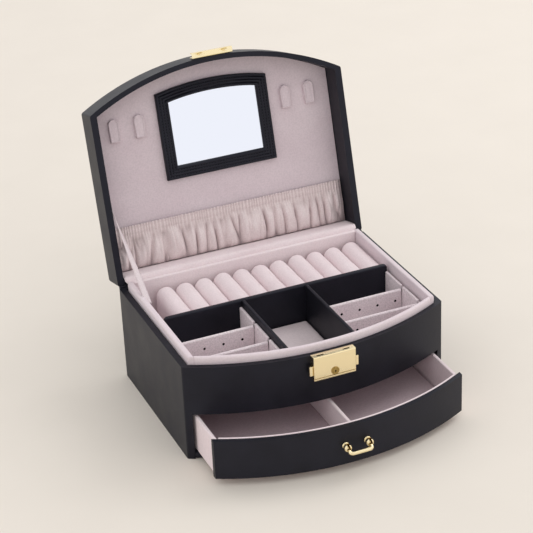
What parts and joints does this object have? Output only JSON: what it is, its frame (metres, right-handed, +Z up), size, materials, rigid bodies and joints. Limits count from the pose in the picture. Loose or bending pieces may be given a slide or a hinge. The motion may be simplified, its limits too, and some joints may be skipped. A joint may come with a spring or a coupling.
{
  "type": "jewellery box",
  "caption": "Bow-front leather jewellery box with a mirror lid, a lined tray with ring rolls and earring racks, a drawer and a lock.",
  "frame": {"origin": "middle of the bottom face, on the surface that the box stands on", "axes": "+X to the right seen from the front, +Y to the rear where the lid is hinged, +Z up"},
  "size_m": [0.23, 0.3027, 0.2629],
  "materials": {
    "black_leather": "grained",
    "pink_velvet": "napped",
    "pink_satin": "satin weave",
    "pale_gold": "polished plating",
    "mirror": "silvered",
    "black_felt": "felt"
  },
  "bodies": {
    "case": {"base_felt": "black_felt", "case_bottom": "black_leather", "case_left_wall": "black_leather", "case_rear_wall": "black_leather", "case_right_wall": "black_leather", "centre_pad": "pink_velvet", "collar_front": "pink_velvet", "collar_left": "pink_velvet", "collar_rear": "pink_velvet", "collar_right": "pink_velvet", "cross_divider": "black_leather", "deck": "pink_velvet", "front_apron": "black_leather", "hinge_lining": "pink_satin", "hinge_roll": "black_leather", "key_boss": "pale_gold", "left_divider": "black_leather", "left_rack_inner_cheek": "pink_velvet", "left_rack_outer_cheek": "pink_velvet", "lock_cover": "pale_gold", "lock_plate": "pale_gold", "ribbon_stay": "pink_satin", "right_divider": "black_leather", "right_rack_inner_cheek": "pink_velvet", "right_rack_outer_cheek": "pink_velvet", "ring_rolls": "pink_velvet", "tray_floor": "pink_velvet"},
    "lid": {"lid_left_wall": "black_leather", "lid_right_wall": "black_leather", "lid_front_wall": "black_leather", "lid_rear_wall": "black_leather", "lid_top": "black_leather", "lid_lining": "pink_velvet", "mirror_frame": "black_leather", "mirror_glass": "mirror", "necklace_hooks": "pink_velvet", "pocket": "pink_satin", "pocket_band": "pink_satin", "hasp_plate": "pale_gold", "hasp_hooks": "pale_gold"},
    "drawer": {"drawer_front": "black_leather", "drawer_front_lining": "pink_velvet", "drawer_left_side": "pink_velvet", "drawer_right_side": "pink_velvet", "drawer_base": "pink_velvet", "drawer_pad": "pink_velvet", "drawer_back": "pink_velvet", "drawer_divider": "pink_velvet", "handle_posts": "pale_gold"},
    "handle": {"handle_bail": "pale_gold"},
    "key": {"key_plug": "pale_gold"},
    "left_button": {"lock_button_left": "pale_gold"},
    "right_button": {"lock_button_right": "pale_gold"},
    "left_rear_panel": {"left_rear_earring_panel": "pink_velvet"},
    "left_front_panel": {"left_front_earring_panel": "pink_velvet"},
    "right_rear_panel": {"right_rear_earring_panel": "pink_velvet"},
    "right_front_panel": {"right_front_earring_panel": "pink_velvet"}
  },
  "joints": [
    {"name": "lid_hinge", "type": "hinge", "parent": "case", "child": "lid", "pos_m": [0, 0.08925, 0.085], "axis": [-1, 0, 0], "range_deg": [-104.5, 0], "deforming": ["hinge_lining", "ribbon_stay"]},
    {"name": "drawer_slide", "type": "slide", "parent": "case", "child": "drawer", "axis": [0, -1, 0], "range_m": [-0.0435, 0.06]},
    {"name": "handle_swing", "type": "hinge", "parent": "drawer", "child": "handle", "pos_m": [0, -0.13575, 0.024], "axis": [-1, 0, 0], "range_deg": [-64, 31]},
    {"name": "left_rear_panel_swing", "type": "hinge", "parent": "case", "child": "left_rear_panel", "pos_m": [-0.036, -0.01675, 0.0794], "axis": [-1, 0, 0], "range_deg": [-8, 60]},
    {"name": "left_front_panel_swing", "type": "hinge", "parent": "case", "child": "left_front_panel", "pos_m": [-0.036, -0.04625, 0.0794], "axis": [-1, 0, 0], "range_deg": [-8, 18]},
    {"name": "right_rear_panel_swing", "type": "hinge", "parent": "case", "child": "right_rear_panel", "pos_m": [0.0298, -0.01675, 0.0794], "axis": [-1, 0, 0], "range_deg": [-8, 60]},
    {"name": "right_front_panel_swing", "type": "hinge", "parent": "case", "child": "right_front_panel", "pos_m": [0.0298, -0.04625, 0.0794], "axis": [-1, 0, 0], "range_deg": [-8, 18]},
    {"name": "key_turn", "type": "hinge", "parent": "case", "child": "key", "pos_m": [0, -0.09, 0.0705], "axis": [0, -1, 0], "range_deg": [0, 90]},
    {"name": "left_button_press", "type": "slide", "parent": "case", "child": "left_button", "axis": [1, 0, 0], "range_m": [0, 0.0015], "stiffness_N_per_m": 200, "springref_m": -0.001},
    {"name": "right_button_press", "type": "slide", "parent": "case", "child": "right_button", "axis": [-1, 0, 0], "range_m": [0, 0.0015], "stiffness_N_per_m": 200, "springref_m": -0.001}
  ]
}
